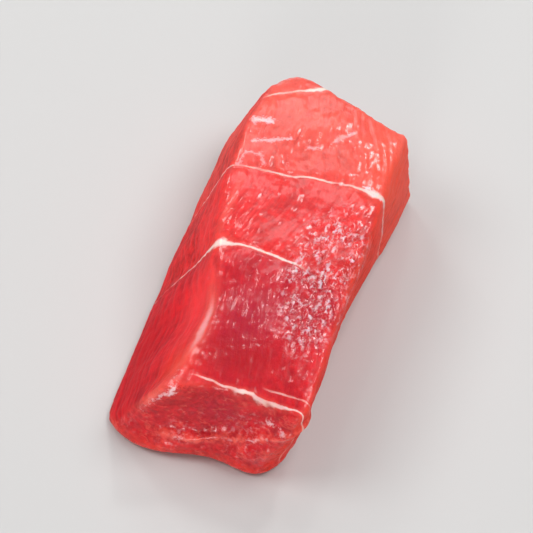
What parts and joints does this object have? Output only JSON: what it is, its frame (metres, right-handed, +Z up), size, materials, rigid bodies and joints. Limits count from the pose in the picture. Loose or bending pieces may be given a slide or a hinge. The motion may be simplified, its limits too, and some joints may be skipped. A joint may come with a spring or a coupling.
{
  "type": "raw tuna offcut",
  "caption": "Raw tuna offcut: a knife-cut bar of deep red loin crossed by pale sinews, lying on its flat underside.",
  "frame": {"origin": "middle of the bar's box, on the surface that it lies on", "axes": "+Y along the bar, from its near end to its bevelled far end; +X to the right of the sloping left face; +Z up"},
  "size_m": [0.0278, 0.0602, 0.0161],
  "materials": {
    "flesh": "wet raw fish muscle, deep red and slightly see-through, with white sinews and a soft wet gloss"
  },
  "bodies": {
    "root": {"tuna_offcut": "flesh"}
  },
  "joints": []
}
